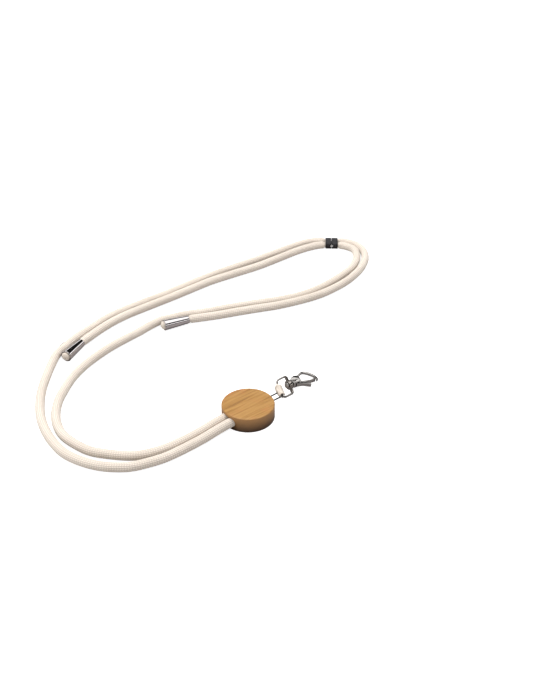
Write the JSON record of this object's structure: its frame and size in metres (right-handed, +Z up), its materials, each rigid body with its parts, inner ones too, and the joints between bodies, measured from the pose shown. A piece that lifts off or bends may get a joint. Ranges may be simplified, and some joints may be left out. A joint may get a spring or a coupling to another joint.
{
  "type": "phone crossbody strap",
  "caption": "Adjustable knitted cord strap with a round bamboo grip, swivel snap hook, sliding metal ferrules and breakaway clip.",
  "frame": {"origin": "centre of the bamboo disc's bottom face, on the floor", "axes": "+X from the disc along the snap hook, +Z up through the disc's thickness, the neck loop lies towards +Y"},
  "size_m": [0.3931, 0.2128, 0.0129],
  "materials": {
    "bamboo": "smooth lacquered bamboo with fine lengthwise grain",
    "tab_wire": "bright drawn wire",
    "cream_tape": "soft woven cotton tape",
    "eye_chrome": "plated casting",
    "hook_metal": "plated casting, satin on the base",
    "lever_metal": "plated casting",
    "ferrule_chrome": "bright plated sheet with a rolled rim",
    "clip_plastic": "black moulded plastic, satin",
    "pin_steel": "bright steel pin",
    "ecru_knit": "knitted cotton cord, undyed"
  },
  "bodies": {
    "root": {"bamboo_disc": "bamboo", "wire_tab": "tab_wire", "fabric_loop": "cream_tape", "swivel_eye": "eye_chrome", "ferrule_left": "ferrule_chrome", "ferrule_right": "ferrule_chrome", "clip_socket": "clip_plastic", "clip_plug": "clip_plastic", "clip_pin": "pin_steel", "cord_outer": "ecru_knit", "cord_inner": "ecru_knit", "cord_end_left": "ecru_knit", "cord_end_right": "ecru_knit"},
    "hook": {"swivel_hook": "hook_metal"},
    "lever": {"trigger_lever": "lever_metal"}
  },
  "joints": [
    {"name": "hook_swivel", "type": "hinge", "parent": "root", "child": "hook", "pos_m": [0.04495, 0.00494, 0.00643], "axis": [0.9806, 0.0686, -0.1834], "continuous": true},
    {"name": "lever_hinge", "type": "hinge", "parent": "hook", "child": "lever", "pos_m": [0.05373, 0.00616, 0.00478], "axis": [0.1829, 0.0128, 0.983], "range_deg": [0, 22], "stiffness_Nm_per_rad": 0.02, "springref_deg": -17.19}
  ]
}
